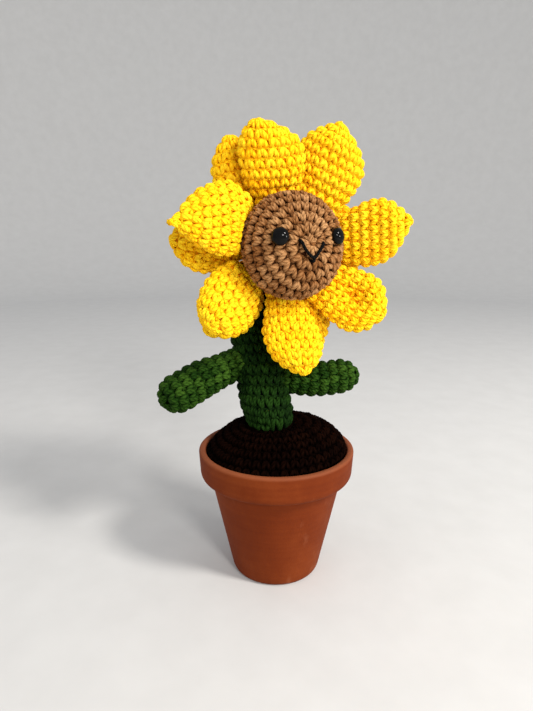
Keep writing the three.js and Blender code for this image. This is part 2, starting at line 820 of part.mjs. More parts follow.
standing.add(piece("pot", potGeometry(), "clay"));
standing.add(piece("soil_cover", soilCoverGeometry(), "soilYarn"));
standing.add(piece("soil_filling", soilFillingGeometry(), "filling"));
standing.add(piece("stem_cover", stemCoverGeometry(), "stemYarn"));
standing.add(piece("stem_filling", stemFillingGeometry(), "filling"));
for (const [name, setting] of Object.entries(leaves)) {
  standing.add(piece(name, leafGeometry(setting), "leafYarn"));
}

const bloom = new THREE.Group();
bloom.position.copy(flower.centre);
bloom.rotation.set(Math.PI / 2 - flower.tilt, 0, flower.yaw, "ZXY");
standing.add(bloom);

const eyeHoles = [];
const eyeHollows = [];
for (const [side, at] of Object.entries(eye.places)) {
  bloom.add(place(piece(`eye_${side}`, eyeGeometry(), "eyePlastic"), onFace(at, gap)));
  const washerAt = onFace(at, -gauge.fabric - eye.washerSlack);
  bloom.add(place(piece(`eye_washer_${side}`, washerGeometry(), "washerPlastic"), washerAt));
  const lining = place(new THREE.Object3D(), onFace(at));
  eyeHoles.push(boss(eye.shankRadius + gap, 4, -8).applyMatrix4(lining.matrix));
  eyeHollows.push(boss(eye.washerRadius + gap, 2, -9.5).applyMatrix4(lining.matrix));
}
bloom.add(piece("head_cover", cut(headCoverGeometry(), eyeHoles), "headYarn"));
bloom.add(piece("head_filling", cut(headFillingGeometry(), eyeHollows), "filling"));
bloom.add(piece("mouth_thread", mouthGeometry(), "thread"));

const petals = {};
frontPetals.forEach((setting, k) => {
  petals[`petal_front_${k + 1}`] = petal({ ...plainPetal, ...setting });
});
backPetals.forEach((setting, k) => {
  petals[`petal_back_${k + 1}`] = petal({ ...plainBackPetal, ...setting });
});
petalContacts.forEach(([one, other]) => pressTogether(petals[one], petals[other]));
for (const [name, { geometry }] of Object.entries(petals)) {
  keepOffHead(geometry);
  bloom.add(piece(name, geometry, "petalYarn"));
}

export default sunflower;
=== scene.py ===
"""A crocheted sunflower with a smiling face, standing in a clay pot.

Every crocheted piece is built from its stitches: each single crochet is a V of two plump strands
of yarn with the loop that lies between it and the next round, laid over the piece's own form.
Lengths are millimetres from the pot's axis and the table, until a mesh is made.
"""

import math

import bpy
import numpy as np
from mathutils import Matrix, Vector


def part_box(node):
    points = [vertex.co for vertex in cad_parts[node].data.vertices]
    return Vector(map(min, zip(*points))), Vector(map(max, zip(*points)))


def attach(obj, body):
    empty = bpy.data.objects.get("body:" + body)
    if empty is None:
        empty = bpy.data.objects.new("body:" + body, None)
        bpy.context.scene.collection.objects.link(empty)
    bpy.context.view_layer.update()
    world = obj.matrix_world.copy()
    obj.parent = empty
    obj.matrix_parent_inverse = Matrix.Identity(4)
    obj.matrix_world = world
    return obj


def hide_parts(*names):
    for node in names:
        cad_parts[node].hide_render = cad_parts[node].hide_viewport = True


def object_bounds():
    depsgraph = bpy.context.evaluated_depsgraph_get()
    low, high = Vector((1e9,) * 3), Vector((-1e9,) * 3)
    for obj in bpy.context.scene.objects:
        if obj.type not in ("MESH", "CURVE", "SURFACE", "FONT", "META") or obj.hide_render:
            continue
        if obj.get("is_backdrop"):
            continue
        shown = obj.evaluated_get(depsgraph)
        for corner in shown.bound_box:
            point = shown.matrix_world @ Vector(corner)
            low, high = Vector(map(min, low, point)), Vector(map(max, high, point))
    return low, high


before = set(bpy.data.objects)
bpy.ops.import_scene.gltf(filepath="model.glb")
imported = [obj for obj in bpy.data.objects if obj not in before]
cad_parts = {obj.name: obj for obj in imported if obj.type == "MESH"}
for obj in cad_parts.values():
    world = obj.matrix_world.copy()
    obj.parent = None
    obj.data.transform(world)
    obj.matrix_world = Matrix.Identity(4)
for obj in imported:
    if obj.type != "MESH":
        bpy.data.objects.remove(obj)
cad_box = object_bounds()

# ------------------------------------------------------------------ sizes, mostly the CAD part's

MM = 0.001
GAP = 0.35  # between pieces that touch
STITCH = 4.5  # width of a stitch
ROUND = 5.1  # height of a round
HEAD_ROUND = 5.8  # the same on the head, which is worked looser

POT_HEIGHT = 67
POT_RIM = 39.8  # outer radius at the top
POT_LIP = 3.4  # thickness of the rim
POT_BAND = 14.6  # height of the thick band under the rim
POT_BAND_TAPER = 0.9
POT_FOOT = 20.6
POT_WALL_BASE = 22.5  # radius that the wall's outside slopes up from
POT_WALL_SLOPE = 0.22
POT_WALL = 3.4
POT_FLOOR = 5
POT_DRAIN = 5  # radius of the hole
POT_LEDGE = 34  # inner radius of the band's foot
POT_WOBBLE = 0.0012  # how far it is out of round, as a share of the radius

SOIL_DOME = 13.4  # how far the dome stands above the rim
SOIL_DOME_RADIUS = 36.4
SOIL_FULLNESS = 4.2  # exponent of the dome's profile
SOIL_TILT = 0.05
SOIL_EDGE = 36.0  # radius where the side turns down inside the rim
SOIL_SIDE = 8  # how far it is followed down

STEM_SEAT = (-3.2, 0, 79.3)
STEM_ROUTE = [
    STEM_SEAT,
    (-3.9, 1.2, 83.5),
    (-5.6, 5.6, 90),
    (-7.2, 10.6, 97),
    (-9.4, 16.6, 108),
    (-10.9, 21.2, 118),
    (-9.8, 25, 129),
    (-7.6, 26.6, 140),
    (-5.6, 25, 149),
    (-4.2, 21.6, 158),
    (-2.2, 16.6, 170.5),
]
STEM_ROUND = 16  # stitches in its first round
STEM_BASE_RADIUS = 11.6
STEM_RADIUS = 13.1
STEM_TOP_HALF_DEPTH = 4.4
STEM_TOP_HALF_WIDTH = 13.6

LEAF_HALF_WIDTH = 11.4
LEAF_TIP = 11  # length of the blunt tip
LEAF_NECK = 0.84  # how wide a leaf still is where it meets the stem
LEAVES = {
    "leaf_left": dict(root=(-19.5, 15, 107.4), tip=(-57.2, -9.4, 92.6), bow=1.4, thick=9.6),
    "leaf_right": dict(root=(2.5, 14.5, 98.8), tip=(44.4, 17.6, 101), bow=-1.6, thick=8.8),
}

FLOWER_CENTRE = (7.4, -4.9, 168.4)
FLOWER_YAW = 24
FLOWER_TILT = 5
HEAD_RADIUS = 25.3
HEAD_DEPTH = 17.8  # half of the flattened ball's thickness
HEAD_ROOM = 1.04  # share of the ball's size that petals keep outside of
HEAD_ROOM_BEND = 0.04

EYE_RADIUS = 4.0
EYE_HEIGHT = 3.1
EYE_SIDE = 0.7  # height of the straight side under the dome
EYE_SUNK = 0.15  # how far the eye is pressed into the fabric
EYE_SHANK = 1.5
EYE_SHANK_LENGTH = 7.5
EYES = {"left": (-13.6, 3.1), "right": (15.4, 3.2)}

MOUTH_RADIUS = 0.7
MOUTH_LIFT = 0.75  # of the thread off the face
MOUTH_END = -1.4  # the same where its ends go in
MOUTH = {
    "smile": [(-5.3, 1.8), (-2.7, -3.0), (1.3, -6.2), (4.4, -2.6), (7.0, 1.2)],
    "tail": [(1.6, -5.7), (1.0, -7.9)],
}

# Petals: angle is where one is sewn on and swing turns it from there, lean tips it to the face,
# roll turns it about its length and cup bends its tip forward, in degrees. hook bends its tip to
# the side. start and back are where its root is, out from the head's middle and behind it. tip is
# an exponent, small for a blunt tip, shoulder is how far the widest place is from the tip, neck
# the share of the width left at the root, and root the half thickness there.
PETAL_HALF_THICKNESS = 6.8
PRESSED_HALF = 3.0  # the least room between a petal's middle line and a neighbour's side
PLAIN_PETAL = dict(swing=0, roll=0, cup=10, hook=0, tip=0.8, shoulder=19, neck=0.62)
PLAIN_PETAL |= dict(start=20.5, back=14.6, root=3.2, dent=0)
BROAD_PETAL = dict(shoulder=29, start=22, back=6)
DENTED_PETAL = dict(swing=8, hook=-1.5, tip=0.7, neck=0.7, dent=5)
DENT_PLACE = 0.42  # share of the length from the tip
DENT_LENGTH = 0.18  # share of the length
DENT_WIDTH = 6
HOOK_START = 0.35  # share of the length from the root
PLAIN_BACK_PETAL = PLAIN_PETAL | dict(cup=4, neck=0.5, root=4, start=15, back=21.6)
FRONT_PETALS = [
    dict(angle=91, swing=14, lean=25, roll=-12, hook=8, length=41, width=16.6, tip=0.75, back=13.8),
    dict(angle=39, swing=32, lean=22, roll=-14, hook=4, length=49, width=18, tip=1, back=16.4),
    dict(angle=7, lean=36, roll=4, hook=4, length=47, width=16.4, tip=1, start=23, back=15),
    DENTED_PETAL | dict(angle=318.5, lean=33, length=44.5, width=18.3, back=15.4),
    dict(angle=273, swing=-1, lean=22, hook=1.5, length=45, width=15.6, tip=0.9),
    dict(angle=221, swing=-2, lean=20, length=37, width=15.2, tip=0.55, start=21.5, neck=0.82),
    dict(angle=143, swing=40, lean=12, hook=1, length=43, width=16.4, tip=1.2, **BROAD_PETAL),
]
BACK_PETALS = [
    dict(angle=115, lean=5, length=43, width=15.6),
    dict(angle=66, lean=0, length=34, width=15),
    dict(angle=14, lean=8, length=40, width=13),
    dict(angle=335, lean=8, length=39, width=14, start=16, back=21.2),
    dict(angle=290, lean=7, length=42, width=14.5, back=18.8),
    dict(angle=227, lean=1, length=41, width=16, neck=0.95),
    dict(angle=175, lean=1, length=40, width=15, neck=1, start=14),
]
# Pairs of petals that press each other flat: f is a front petal, b one behind.
CONTACTS = (
    "f1 f2, f2 f3, f3 f4, f4 f5, f5 f6, f1 b1, f2 b2, f3 b3, f4 b4, f4 b5, f5 b5, f6 b6, f7 b7, "
    "b1 b2, b3 b4, b4 b5, b5 b6, b6 b7, b1 b7, f2 b3, b2 b3"
)

# ------------------------------------------------------------------ the stitch

# One leg of the V: place along the round, place up the stitch, height and radius of the strand.
# The first two are shares of the stitch, and the last two are mm, with 0 at the fabric's crest.
LEG = np.array([
    (0.05, 0.0, -2.8, 0.7),
    (0.08, 0.1, -1.9, 0.92),
    (0.13, 0.25, -1.2, 1.1),
    (0.2, 0.44, -0.9, 1.17),
    (0.28, 0.62, -1.02, 1.13),
    (0.35, 0.79, -1.55, 0.97),
    (0.4, 0.92, -2.45, 0.74),
])
# The loop along the top of the stitch, low in the groove between its V and the round above.
LOOP = np.array([
    (-0.54, 1.04, -2.7, 0.8),
    (-0.27, 1.0, -2.3, 0.95),
    (0.0, 0.98, -2.15, 1.0),
    (0.27, 1.0, -2.3, 0.95),
    (0.54, 1.04, -2.7, 0.8),
])
CORE_DEPTH = 2.3  # the fabric's body under the strands
PAINTED_SHADE_PER_MM = 0.24  # painted shade: how much deeper the yarn's tone gets for each mm down into the fabric
ROUND_SHIFT = 0.3  # how far each round's stitches stand to the side of the round below
SLANT = 0.16  # how far a stitch leans as it is worked
LEG_SIDES = 8
LOOP_SIDES = 5
FABRIC_TURNS = 44
FABRIC_ROWS = 36

# The tone is what the yarn's colour is read at: 0 is the deepest painted shade, in the fabric, and
# 1 the fully lit colour.
TONE = 0.82
TONE_RANGE = (0.5, 1.1)
SHADE_START = 0.9  # how far under the crest, in mm, a strand's tone starts to deepen with painted shade
SIZE_RANGE = (0.72, 1.1)  # how narrow or wide a stitch may get, as a share of its width

# How uneven the work is, as standard deviations.
TONE_SPREAD = 0.14
SIDE_SPREAD = 0.018  # a strand's place along the round, as a share of the stitch
BEND_SPREAD = 0.008  # the same for each of its points
RISE_SPREAD = 0.02  # its place up the stitch, as a share of the stitch
HEIGHT_SPREAD = 0.1  # its height off the form, in mm
RADIUS_SPREAD = 0.04  # share of its radius

# ------------------------------------------------------------------ frames

pot_low, pot_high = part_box("pot")
POT_AXIS = np.array([(pot_low.x + pot_high.x) / 2, (pot_low.y + pot_high.y) / 2, pot_low.z]) / MM

FLOWER = (
    Matrix.Translation(FLOWER_CENTRE)
    @ Matrix.Rotation(math.radians(FLOWER_YAW), 4, "Z")
    @ Matrix.Rotation(math.radians(90 - FLOWER_TILT), 4, "X")
)


def moved(matrix, points):
    """The points taken through a 4x4 matrix."""
    m = np.array(matrix)
    return points @ m[:3, :3].T + m[:3, 3]


def unit(vectors):
    return vectors / np.maximum(np.linalg.norm(vectors, axis=-1, keepdims=True), 1e-9)


def smoothstep(x, low, high):
    t = np.clip((x - low) / (high - low), 0, 1)
    return t * t * (3 - 2 * t)


def lerp(a, b, t):
    return a + (b - a) * t


def kept_below(value, limit, bend):
    """The value held under a limit, which it nears in a smooth bend and never quite reaches."""
    return limit - bend * np.logaddexp(0, (limit - value) / bend)


# ------------------------------------------------------------------ curves


class Curve:
    """A smooth line through a few points, read at a share of its length from 0 to 1."""

    def __init__(self, stops, samples=400):
        p = np.array(stops, float)
        p = np.vstack([2 * p[0] - p[1], p, 2 * p[-1] - p[-2]])
        knots = np.concatenate([[0], np.cumsum(np.linalg.norm(np.diff(p, axis=0), axis=1) ** 0.5)])
        wanted = np.linspace(knots[1], knots[-2], samples)
        k = np.clip(np.searchsorted(knots, wanted) - 1, 1, len(p) - 3)
        level = [p[k - 1], p[k], p[k + 1], p[k + 2]]
        times = [knots[k - 1], knots[k], knots[k + 1], knots[k + 2]]
        for span in (1, 2):
            level = [
                self.blend(level[i], level[i + 1], times[i], times[i + span], wanted)
                for i in range(len(level) - 1)
            ]
        self.points = self.blend(level[0], level[1], times[1], times[2], wanted)
        lengths = np.linalg.norm(np.diff(self.points, axis=0), axis=1)
        self.shares = np.concatenate([[0], np.cumsum(lengths)])
        self.length = self.shares[-1]
        self.shares /= self.length
        self.tangents = unit(np.gradient(self.points, axis=0))

    @staticmethod
    def blend(a, b, ta, tb, t):
        share = ((t - ta) / (tb - ta))[:, None]
        return a + (b - a) * share

    def at(self, share):
        read = lambda table: np.stack(
            [np.interp(share, self.shares, table[:, c]) for c in range(3)], axis=-1
        )
        return read(self.points), unit(read(self.tangents))


# ------------------------------------------------------------------ forms


def even_angles():
    """A table of ellipse angles that are evenly spaced along the ellipse, for each flatness."""
    flatness = np.linspace(0.15, 1, 18)
    angle = np.linspace(0, 2 * math.pi, 721)
    turn = np.linspace(0, 1, 361)
    table = []
    for q in flatness:
        speed = np.hypot(np.sin(angle), q * np.cos(angle))
        run = np.concatenate([[0], np.cumsum((speed[1:] + speed[:-1]) / 2)])
        table.append(np.interp(turn, run / run[-1], angle))
    return flatness, np.array(table)


FLATNESS, ANGLES = even_angles()


def even_angle(turn, flatness):
    """The ellipse angle at a share of the way round, looked up in the table."""
    turn, flatness = np.broadcast_arrays(turn, np.clip(flatness, FLATNESS[0], 1))
    row = (flatness - FLATNESS[0]) / (FLATNESS[1] - FLATNESS[0])
    col = (turn % 1) * (ANGLES.shape[1] - 1)
    r0 = np.minimum(row.astype(int), len(FLATNESS) - 2)
    c0 = np.minimum(col.astype(int), ANGLES.shape[1] - 2)
    fr, fc = row - r0, col - c0
    low = lerp(ANGLES[r0, c0], ANGLES[r0, c0 + 1], fc)
    high = lerp(ANGLES[r0 + 1, c0], ANGLES[r0 + 1, c0 + 1], fc)
    return lerp(low, high, fr)


def ellipse(turn, centre, across, over, half_across, half_over):
    angle = even_angle(turn, half_over / half_across)
    a = (half_across * np.cos(angle))[..., None]
    b = (half_over * np.sin(angle))[..., None]
    return centre + across * a + over * b


class Form:
    """A closed form that is crocheted round and round. place(turn, d) gives its surface at a
    share of the way round and a distance from its start; s is measured along the fabric."""

    def __init__(self, place, length):
        self.place = place
        d = length * (1 - np.cos(np.linspace(0, math.pi, 500))) / 2
        turns = np.linspace(0, 1, 12, endpoint=False)
        grid = place(turns[:, None] + 0 * d[None, :], d[None, :] + 0 * turns[:, None])
        steps = np.linalg.norm(np.diff(grid, axis=1), axis=-1).mean(axis=0)
        self.d = d
        self.s = np.concatenate([[0], np.cumsum(steps)])
        self.length = self.s[-1]
        out = grid - grid.mean(axis=0, keepdims=True)
        self.sign = 1
        normals = self.normal(turns[:, None] + 0 * d, self.s + 0 * turns[:, None])
        self.sign = np.sign((normals * out).sum())

    def point(self, turn, s):
        return self.place(turn, np.interp(s, self.s, self.d))

    def normal(self, turn, s):
        s = np.clip(s, 0.5, self.length - 0.5)
        round_about = self.point(turn + 0.01, s) - self.point(turn - 0.01, s)
        along = self.point(turn, s + 0.5) - self.point(turn, s - 0.5)
        return self.sign * unit(np.cross(round_about, along))

    def girth(self, s):
        """How far it is round the form at s."""
        turn = np.linspace(0, 1, 49)
        ring = self.point(turn, s + 0 * turn)
        return np.linalg.norm(np.diff(ring, axis=0), axis=1).sum()


# ------------------------------------------------------------------ yarn


class Yarn:
    """Gathers strands and fabric into one mesh, with the data that its material reads."""

    def __init__(self):
        self.points, self.faces, self.uvs, self.tones, self.count = [], [], [], [], 0

    def add(self, points, faces, uvs, tones):
        """faces is a list of index arrays of one width each, with uvs of the same shapes."""
        self.points.append(points)
        self.faces += [f + self.count for f in faces]
        self.uvs += uvs
        self.tones.append(np.broadcast_to(tones, len(points)))
        self.count += len(points)

    def strands(self, paths, ups, radii, sides, tones):
        """Round strands along paths, n by m points, each closed by a flat end. tones is n by m,
        and is lowered on the underside of a strand, a painted shade."""
        n, m = radii.shape
        along = unit(np.gradient(paths, axis=1))
        side = unit(np.cross(along, ups))
        up = np.cross(side, along)
        angle = np.arange(sides) / sides * 2 * math.pi
        ring = side[:, :, None] * np.cos(angle)[:, None] + up[:, :, None] * np.sin(angle)[:, None]
        points = paths[:, :, None] + ring * radii[:, :, None, None]
        index = np.arange(n * m * sides).reshape(n, m, sides)
        nxt = np.roll(index, -1, axis=2)
        quads = np.stack([index[:, :-1], nxt[:, :-1], nxt[:, 1:], index[:, 1:]], axis=-1)
        ends = np.concatenate([index[:, 0, ::-1], index[:, -1]])
        steps = np.linalg.norm(np.diff(paths, axis=1), axis=-1)
        run = np.concatenate([np.zeros((n, 1)), np.cumsum(steps, axis=1)], axis=1)
        u0 = np.broadcast_to(np.arange(sides) / sides, (n, m - 1, sides))
        low = np.broadcast_to(run[:, :-1, None], u0.shape)
        high = np.broadcast_to(run[:, 1:, None], u0.shape)
        u1 = u0 + 1 / sides
        uv = np.stack([np.stack(c, -1) for c in ((u0, low), (u1, low), (u1, high), (u0, high))], -2)
        # The tone is lowered under each strand's top, a painted shade.
        self.add(
            points.reshape(-1, 3),
            [quads.reshape(-1, 4), ends],
            [uv.reshape(-1, 4, 2), np.zeros((*ends.shape, 2))],
            (tones[..., None] + PAINTED_SHADE_PER_MM * radii[..., None] * (np.sin(angle) - 1)).ravel(),
        )

    def fabric(self, form, depth):
        """The closed body of the fabric under the strands, in the darkest tone: painted shade in
        the gaps between the strands.
        """
        turns, rows = FABRIC_TURNS, FABRIC_ROWS
        turn = np.arange(turns) / turns
        s = form.length * (np.arange(rows) + 0.5) / rows
        grid_turn, grid_s = np.meshgrid(turn, s)
        grid = form.point(grid_turn, grid_s) - depth * form.normal(grid_turn, grid_s)
        ends = [grid[0].mean(axis=0), grid[-1].mean(axis=0)]
        index = np.arange(rows * turns).reshape(rows, turns)
        nxt = np.roll(index, -1, axis=1)
        quads = np.stack([index[:-1], nxt[:-1], nxt[1:], index[1:]], axis=-1).reshape(-1, 4)
        first, last = rows * turns, rows * turns + 1
        caps = np.concatenate([
            np.stack([nxt[0], index[0], np.full(turns, first)], axis=-1),
            np.stack([index[-1], nxt[-1], np.full(turns, last)], axis=-1),
        ])
        points = np.vstack([grid.reshape(-1, 3), ends])
        if form.sign < 0:
            quads, caps = quads[:, ::-1], caps[:, ::-1]
        uvs = [np.zeros((*faces.shape, 2)) for faces in (quads, caps)]
        self.add(points, [quads, caps], uvs, 0.0)

    def mesh(self, name, matrix=None):
        points = np.vstack(self.points)
        if matrix is not None:
            points = moved(matrix, points)
        return build_mesh(name, points, self.faces, self.uvs, np.concatenate(self.tones))


def build_mesh(name, points, faces, uvs=None, tones=None):
    """A smooth mesh in metres in the row's frame from points in mm from the pot's axis."""
    mesh = bpy.data.meshes.new(name)
    mesh.vertices.add(len(points))
    mesh.vertices.foreach_set("co", ((points + POT_AXIS) * MM).astype(np.float32).ravel())
    corners = np.concatenate([f.ravel() for f in faces]).astype(np.int32)
    sizes = np.concatenate([np.full(len(f), f.shape[1]) for f in faces]).astype(np.int32)
    mesh.loops.add(len(corners))
    mesh.loops.foreach_set("vertex_index", corners)
    mesh.polygons.add(len(sizes))
    starts = np.concatenate([[0], np.cumsum(sizes)[:-1]])
    mesh.polygons.foreach_set("loop_start", starts.astype(np.int32))
    if uvs is not None:
        flat = np.concatenate([u.reshape(-1, 2) for u in uvs])
        mesh.uv_layers.new(name="strand").uv.foreach_set("vector", flat.astype(np.float32).ravel())
    if tones is not None:
        attribute = mesh.attributes.new("tone", "FLOAT", "POINT")
        attribute.data.foreach_set("value", tones.astype(np.float32))
    mesh.update(calc_edges=True)
    mesh.validate()
    mesh.shade_smooth()
    return mesh


def crochet(
    form,
    seed,
    first=6,
    round_height=ROUND,
    slant=SLANT,
    core=CORE_DEPTH,
    relief=1.0,
    drop=0.0,
    plump=1.0,
):
    """The stitches of a form worked in a spiral from its start, over its fabric. The work goes
    to the left, seen from outside with its start at the bottom, as a right-handed person's does.
    first is how many stitches the first round has, core is how deep the fabric lies, relief and
    plump scale the strands' heights and radii, and drop lowers the loops."""
    rng = np.random.default_rng(seed)
    yarn = Yarn()
    yarn.fabric(form, core)
    rounds = max(1, round(form.length / round_height))
    height = form.length / rounds
    turn, low, high, count = [], [], [], []
    begin = rng.random()
    for k in range(rounds):
        n = first if k == 0 else max(first, round(form.girth((k + 0.5) * height) / STITCH))
        share = (np.arange(n) + 0.5) / n
        span = 1 + ROUND_SHIFT / n
        turn.append(begin + share * span)
        low.append((k - 0.5 + share) * height if k > 0 else 0 * share)
        high.append((k + 0.5 + share) * height if k < rounds - 1 else 0 * share + form.length)
        count.append(np.full(n, n))
        begin += span
    turn, low, high, count = [np.concatenate(a) for a in (turn, low, high, count)]
    tone = np.clip(TONE + TONE_SPREAD * rng.standard_normal(len(turn)), *TONE_RANGE)
    middle = (low + high) / 2
    hand = -form.sign
    ahead, behind = [form.point(hand * turn + half / count, middle) for half in (0.5, -0.5)]
    size = np.clip(np.linalg.norm(ahead - behind, axis=1) / STITCH, *SIZE_RANGE)

    def strand(shape, mirror, sides, drop):
        n, m = len(turn), len(shape)
        wander = rng.normal(0, SIDE_SPREAD, (n, 1)) + rng.normal(0, BEND_SPREAD, (n, m))
        x = mirror * shape[:, 0] + slant * (shape[:, 1] - 0.5) + wander
        y = shape[:, 1] + rng.normal(0, RISE_SPREAD, (n, 1))
        t = hand * (turn[:, None] + x / count[:, None])
        s = np.clip(low[:, None] + y * (high - low)[:, None], 0.05, form.length - 0.05)
        up = form.normal(t, s)
        rise = (relief * shape[:, 2] - drop) * lerp(1, size[:, None], 0.5)
        rise = rise + rng.normal(0, HEIGHT_SPREAD, (n, 1))
        path = form.point(t, s) + up * rise[..., None]
        radius = plump * shape[:, 3] * size[:, None] * (1 + rng.normal(0, RADIUS_SPREAD, (n, 1)))
        # Painted shade: the tone deepens the further a strand lies down in the fabric.
        depth = np.maximum(-rise - SHADE_START, 0)
        yarn.strands(path, up, radius, sides, tone[:, None] - PAINTED_SHADE_PER_MM * depth)

    for mirror in (-1, 1):
        strand(LEG, mirror, LEG_SIDES, 0)
    strand(LOOP, 1, LOOP_SIDES, drop)
    return yarn


# ------------------------------------------------------------------ materials


class Shader:
    """A material's nodes, added and joined by short calls."""

    def __init__(self, name):
        self.material = bpy.data.materials.new(name)
        self.material.use_nodes = True
        self.tree = self.material.node_tree
        self.tree.nodes.clear()
        self.surface = self.node("ShaderNodeBsdfPrincipled")
        self.node("ShaderNodeOutputMaterial", Surface=self.surface.outputs["BSDF"])

    def node(self, kind, settings=None, **inputs):
        """A new node, its inputs given by name, or as i0, i1 and so on by number."""
        made = self.tree.nodes.new(kind)
        for key, value in (settings or {}).items():
            setattr(made, key, value)
        for key, value in inputs.items():
            numbered = key[0] == "i" and key[1:].isdigit()
            self.put(value, made.inputs[int(key[1:]) if numbered else key])
        return made

    def put(self, value, socket):
        if isinstance(value, bpy.types.NodeSocket):
            self.tree.links.new(value, socket)
        else:
            socket.default_value = value

    def math(self, operation, *values):
        inputs = {f"i{k}": v for k, v in enumerate(values)}
        return self.node("ShaderNodeMath", {"operation": operation}, **inputs).outputs[0]

    def noise(self, vector, scale, detail=3.0, roughness=0.55):
        inputs = dict(Vector=vector, Scale=scale, Detail=detail, Roughness=roughness)
        return self.node("ShaderNodeTexNoise", **inputs).outputs["Fac"]

    def scaled(self, vector, scale):
        """The vector with each of its axes scaled, which stretches what is read from it."""
        return self.node("ShaderNodeMapping", Vector=vector, Scale=scale).outputs[0]

    def rising(self, value, start, end, most):
        """0 where the value is at start or before, and most where it is at end or past it."""
        limits = {"From Min": start, "From Max": end, "To Max": most}
        return self.node("ShaderNodeMapRange", Value=value, **limits).outputs[0]

    def ramp(self, factor, *stops):
        """stops are (place, colour) pairs."""
        made = self.node("ShaderNodeValToRGB", Fac=factor)
        elements = made.color_ramp.elements
        while len(elements) < len(stops):
            elements.new(0.5)
        for element, (place, colour) in zip(elements, stops):
            element.position = place
            element.color = (*colour, 1)
        return made.outputs["Color"]

    def mix(self, factor, a, b):
        """From one socket's colour to another colour."""
        made = self.node("ShaderNodeMix", {"data_type": "RGBA"}, i0=factor, i6=a, i7=(*b, 1))
        return made.outputs[2]

    def bump(self, height, distance, strength):
        made = self.node("ShaderNodeBump", Height=height, Distance=distance, Strength=strength)
        return made.outputs["Normal"]

    def finish(self, **inputs):
        """Sets or joins the surface's own inputs, and gives the material."""
        for key, value in inputs.items():
            self.put(value, self.surface.inputs[key.replace("_", " ")])
        return self.material


def srgb(r, g, b):
    """A colour given as 0 to 255 sRGB, in the linear values that shaders take."""
    line = lambda c: c / 12.92 if c <= 0.04045 else ((c + 0.055) / 1.055) ** 2.4
    return tuple(line(c / 255) for c in (r, g, b))


PLIES = 4  # strands twisted into the yarn
TWIST = 0.16  # turns of the twist for each mm


def yarn_material(name, painted_deep_shade, shade, light, sheen, shine=0.15):
    """Plied yarn: the twist and fibres as relief, with painted shade in the grooves and the
    fabric's body.
    """
    sh = Shader(name)
    strand = sh.node("ShaderNodeUVMap", {"uv_map": "strand"}).outputs["UV"]
    place = sh.node("ShaderNodeTexCoord").outputs["Object"]
    tone = sh.node("ShaderNodeAttribute", {"attribute_name": "tone"}).outputs["Fac"]
    split = sh.node("ShaderNodeSeparateXYZ", Vector=strand)
    around, along = split.outputs[0], split.outputs[1]
    turn = sh.math("MULTIPLY_ADD", along, TWIST, around)
    phase = sh.math("MULTIPLY", turn, math.pi * PLIES)
    ply = sh.math("ABSOLUTE", sh.math("SINE", phase))
    twisted = sh.node("ShaderNodeCombineXYZ", X=turn, Y=along)
    fibre = sh.noise(sh.scaled(twisted.outputs[0], (26, 0.9, 1)), 1.0, 3.0, 0.65)
    fuzz = sh.noise(place, 1400, 3.0, 0.7)
    patch = sh.noise(place, 90, 2.0)
    # The colour is read at the tone, which carries the painted shade, and lifted on the plies'
    # crests, a painted shade between the plies, and on the fibres and in soft patches.
    level = sh.math("MULTIPLY", tone, 0.55)
    level = sh.math("MULTIPLY_ADD", ply, 0.15, level)
    level = sh.math("MULTIPLY_ADD", fibre, 0.22, level)
    level = sh.math("MULTIPLY_ADD", patch, 0.1, level)
    # From the deepest painted shade, through the shaded colour, to the lit colour.
    colour = sh.ramp(level, (0.2, painted_deep_shade), (0.55, shade), (0.9, light))
    height = sh.math("MULTIPLY_ADD", fibre, 0.4, ply)
    height = sh.math("MULTIPLY_ADD", fuzz, 0.35, height)
    normal = sh.bump(height, 0.00035, 0.9)
    return sh.finish(
        Base_Color=colour,
        Roughness=0.85,
        Normal=normal,
        Sheen_Weight=sheen,
        Sheen_Roughness=0.5,
        Sheen_Tint=(*light, 1),
        Specular_IOR_Level=shine,
    )


def clay_material():
    """Unglazed terracotta: mottled, with fine grain, turning lines, a few pale scuffs, a foot that
    is worn paler, and a lip that is worn paler and has a painted highlight along its top."""
    sh = Shader("terracotta")
    place = sh.node("ShaderNodeTexCoord").outputs["Object"]
    mottle = sh.noise(place, 28, 4.0, 0.6)
    speck = sh.noise(place, 900, 2.0, 0.7)
    turned = sh.noise(sh.scaled(place, (3, 3, 420)), 1.0, 3.0, 0.5)
    bloom = sh.noise(sh.scaled(place, (40, 40, 14)), 1.0, 5.0, 0.65)
    height = sh.node("ShaderNodeSeparateXYZ", Vector=place).outputs["Z"]
    worn_foot = sh.rising(height, 9 * MM, 0, 0.1)
    # The top of the lip is paler: wear, and a painted highlight where the light falls on it.
    lip_wear_and_painted_highlight = sh.rising(height, (POT_HEIGHT - 1.6) * MM, POT_HEIGHT * MM, 0.3)
    level = sh.math("MULTIPLY_ADD", speck, 0.25, mottle)
    level = sh.math("MULTIPLY_ADD", turned, 0.3, level)
    base = sh.ramp(
        level,
        (0.45, srgb(90, 30, 2)),
        (0.75, srgb(105, 40, 5)),
        (1.0, srgb(119, 51, 14)),
    )
    scuffs = sh.rising(sh.math("ADD", bloom, worn_foot), 0.62, 0.78, 0.4)
    colour = sh.mix(sh.math("MAXIMUM", scuffs, lip_wear_and_painted_highlight), base, srgb(168, 108, 76))
    relief = sh.math("MULTIPLY_ADD", turned, 0.8, speck)
    return sh.finish(
        Base_Color=colour,
        Roughness=sh.math("MULTIPLY_ADD", speck, 0.2, 0.62),
        Normal=sh.bump(relief, 0.00012, 0.6),
        Specular_IOR_Level=0.12,
    )


